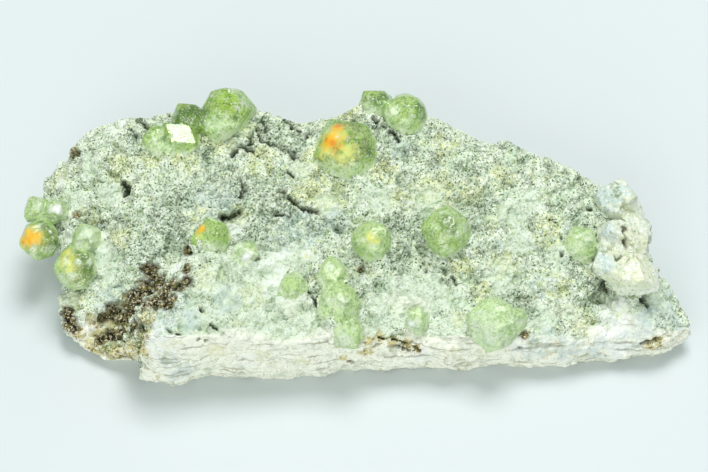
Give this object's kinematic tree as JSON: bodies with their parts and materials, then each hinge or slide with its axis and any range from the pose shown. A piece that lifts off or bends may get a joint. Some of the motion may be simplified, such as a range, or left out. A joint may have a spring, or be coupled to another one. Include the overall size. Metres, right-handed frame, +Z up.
{
  "type": "demantoid garnet specimen",
  "caption": "Green demantoid garnet crystals on a pale, rough slab of asbestos-serpentine rock, a loose collector's specimen that lies on its flat underside.",
  "frame": {"origin": "middle of the specimen's outline, on the surface that it lies on", "axes": "+X along the slab, +Y to its thicker back edge, +Z up"},
  "size_m": [0.0572, 0.0252, 0.0121],
  "materials": {
    "matrix_rock": "rough",
    "demantoid": "gloss",
    "pale_crust": "satin"
  },
  "bodies": {
    "root": {"matrix": "matrix_rock", "garnet_back_left_cluster": "demantoid", "garnet_orange_large": "demantoid", "garnet_back_right_pair": "demantoid", "garnet_left_edge_group": "demantoid", "garnet_left_lower_pair": "demantoid", "garnet_small_spotted": "demantoid", "garnet_bright_face": "demantoid", "garnet_centre": "demantoid", "garnet_right_of_centre": "demantoid", "garnet_front_buried": "demantoid", "garnet_front_cluster": "demantoid", "garnet_front_small": "demantoid", "garnet_front_right": "demantoid", "garnet_right_patch": "demantoid", "pale_crust": "pale_crust"}
  },
  "joints": []
}
